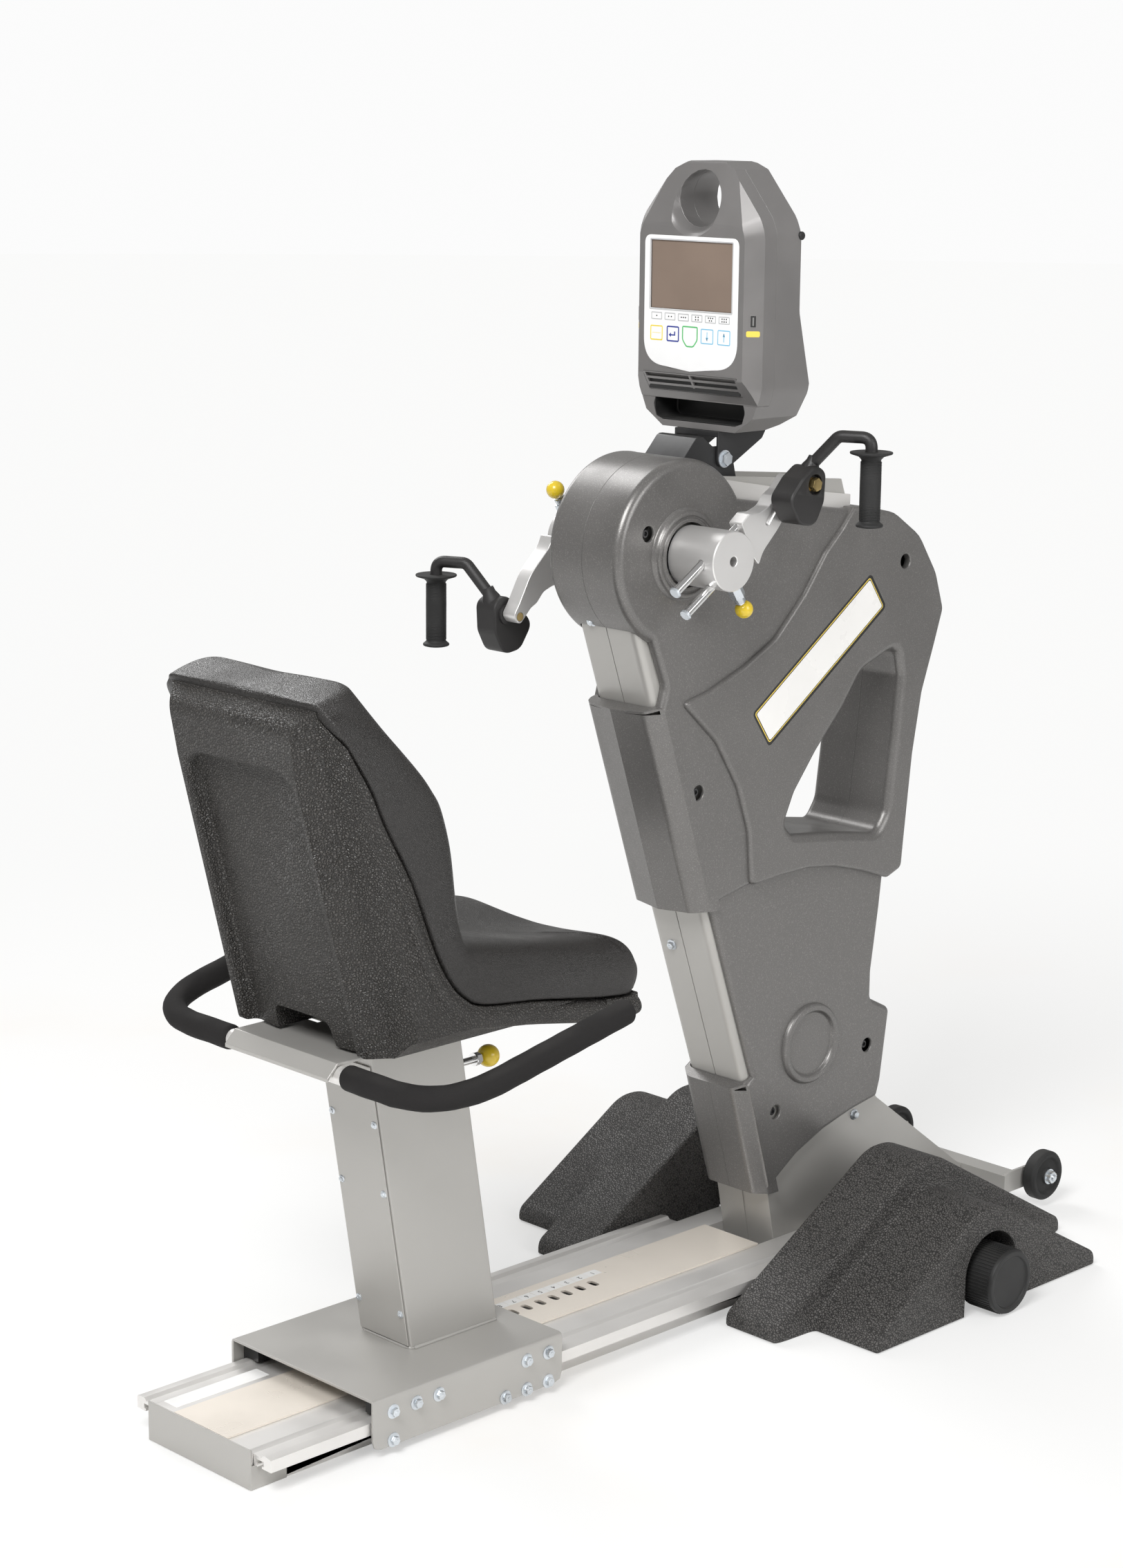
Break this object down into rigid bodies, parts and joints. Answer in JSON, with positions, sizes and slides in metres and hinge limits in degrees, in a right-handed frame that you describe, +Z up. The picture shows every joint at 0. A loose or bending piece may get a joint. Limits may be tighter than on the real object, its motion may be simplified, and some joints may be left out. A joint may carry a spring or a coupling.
{
  "type": "arm ergometer",
  "caption": "Arm ergometer: hand cranks with upright grips on a slanted tower with a tilting console, and a bucket seat on a carriage that slides and locks along a floor rail.",
  "frame": {"origin": "on the floor, under the middle of the whole length and on the mid plane", "axes": "+X to the right of someone in the seat, +Y forwards from the seat to the tower, +Z up"},
  "size_m": [0.816, 1.6404, 1.6639],
  "materials": {
    "shell": "fine grained graphite with a metallic tint",
    "painted_steel": "satin silver grey paint",
    "aluminium": "satin",
    "stop_plate": "brushed, champagne coloured",
    "chrome": "polished",
    "black_steel": "fine textured black",
    "black_plastic": "matt",
    "seat_plastic": "grained",
    "vinyl": "soft satin vinyl",
    "foam": "matt foam",
    "rubber": "matt with light speckles",
    "cast_iron": "machined",
    "overlay": "smooth printed film",
    "screen": "smooth grey brown display",
    "brass_bolt": "yellow plated"
  },
  "bodies": {
    "base": {"rail_left": "aluminium", "rail_right": "aluminium", "rail_plate": "stop_plate", "rail_end_cap": "painted_steel", "column": "painted_steel", "foot": "painted_steel", "stabiliser_bar": "painted_steel", "bar_end_cap_left": "rubber", "bar_end_cap_right": "rubber", "ramp_left": "rubber", "ramp_right": "rubber", "wheel_bracket": "painted_steel", "upper_shell_left": "shell", "upper_shell_right": "shell", "lower_shell_left": "shell", "lower_shell_right": "shell", "top_deck": "painted_steel", "bearing_left": "cast_iron", "bearing_right": "cast_iron", "drive_belt": "rubber", "console_bracket_base": "black_steel"},
    "wheel_left": {"wheel_left": "black_plastic"},
    "wheel_right": {"wheel_right": "black_plastic"},
    "crank": {"crank_shaft": "chrome", "crank_pulley": "cast_iron", "hub_left": "aluminium", "hub_right": "aluminium"},
    "brake": {"brake_rotor": "cast_iron"},
    "arm_left": {"crank_arm_left": "aluminium", "pivot_bolt_left": "brass_bolt"},
    "arm_right": {"crank_arm_right": "aluminium", "pivot_bolt_right": "brass_bolt"},
    "plunger_left": {"plunger_left": "chrome"},
    "plunger_right": {"plunger_right": "chrome"},
    "handle_left": {"handle_left": "black_steel"},
    "handle_right": {"handle_right": "black_steel"},
    "grip_left": {"grip_left": "rubber"},
    "grip_right": {"grip_right": "rubber"},
    "console": {"console_front": "shell", "console_rear": "shell", "display_overlay": "overlay", "screen": "screen", "air_grille": "shell", "console_bracket_plate": "black_steel", "tilt_bolt": "chrome"},
    "seat": {"carriage": "painted_steel", "glide_left": "black_plastic", "glide_right": "black_plastic", "seat_post": "painted_steel", "post_cover": "painted_steel", "bar_bracket": "painted_steel", "seat_mount": "painted_steel", "hand_bar": "aluminium", "sleeve_left": "foam", "sleeve_right": "foam", "seat_shell": "seat_plastic", "bucket_cushion": "vinyl"},
    "lever": {"release_lever": "chrome"},
    "lock": {"lock_pin": "chrome"}
  },
  "joints": [
    {"name": "seat_slide", "type": "slide", "parent": "base", "child": "seat", "axis": [0, 1, 0], "range_m": [-0.134, 0.1876]},
    {"name": "release_lever_lift", "type": "hinge", "parent": "seat", "child": "lever", "pos_m": [0, -0.48918, 0.449], "axis": [1, 0, 0], "range_deg": [0, 12], "stiffness_Nm_per_rad": 2, "springref_deg": -11.46},
    {"name": "lock_pin_lift", "type": "slide", "parent": "seat", "child": "lock", "axis": [0, 0, 1], "range_m": [0, 0.016]},
    {"name": "crank_spin", "type": "hinge", "parent": "base", "child": "crank", "pos_m": [0, -0.00025, 1.129], "axis": [1, 0, 0], "continuous": true},
    {"name": "brake_spin", "type": "hinge", "parent": "base", "child": "brake", "pos_m": [0, 0.33952, 1.05503], "axis": [1, 0, 0], "continuous": true},
    {"name": "arm_slide_right", "type": "slide", "parent": "crank", "child": "arm_right", "axis": [0, 0.8387, 0.5446], "range_m": [0, 0.045]},
    {"name": "arm_slide_left", "type": "slide", "parent": "crank", "child": "arm_left", "axis": [0, -0.8387, -0.5446], "range_m": [0, 0.045]},
    {"name": "plunger_pull_right", "type": "slide", "parent": "crank", "child": "plunger_right", "axis": [0, 0.5446, -0.8387], "range_m": [0, 0.006], "stiffness_N_per_m": 1500, "springref_m": -0.01},
    {"name": "plunger_pull_left", "type": "slide", "parent": "crank", "child": "plunger_left", "axis": [0, -0.5446, 0.8387], "range_m": [0, 0.006], "stiffness_N_per_m": 1500, "springref_m": -0.01},
    {"name": "handle_swing_right", "type": "hinge", "parent": "arm_right", "child": "handle_right", "pos_m": [0.177, 0.12724, 1.22814], "axis": [1, 0, 0], "continuous": true},
    {"name": "handle_swing_left", "type": "hinge", "parent": "arm_left", "child": "handle_left", "pos_m": [-0.177, -0.12774, 1.02986], "axis": [1, 0, 0], "continuous": true},
    {"name": "grip_spin_right", "type": "hinge", "parent": "handle_right", "child": "grip_right", "pos_m": [0.265, 0.16324, 1.22], "axis": [0, 0, 1], "continuous": true},
    {"name": "grip_spin_left", "type": "hinge", "parent": "handle_left", "child": "grip_left", "pos_m": [-0.265, -0.16374, 1.02], "axis": [0, 0, 1], "continuous": true},
    {"name": "console_tilt", "type": "hinge", "parent": "base", "child": "console", "pos_m": [0, 0.10671, 1.2519], "axis": [1, 0, 0], "range_deg": [-18, 18]},
    {"name": "wheel_spin_right", "type": "hinge", "parent": "base", "child": "wheel_right", "pos_m": [0.155, 0.77975, 0.052], "axis": [1, 0, 0], "continuous": true},
    {"name": "wheel_spin_left", "type": "hinge", "parent": "base", "child": "wheel_left", "pos_m": [-0.155, 0.77975, 0.052], "axis": [1, 0, 0], "continuous": true}
  ],
  "couplings": [
    {"joint": "lock_pin_lift", "follows": "release_lever_lift", "m_per_rad": 0.075},
    {"joint": "brake_spin", "follows": "crank_spin", "ratio": 2.7276}
  ]
}
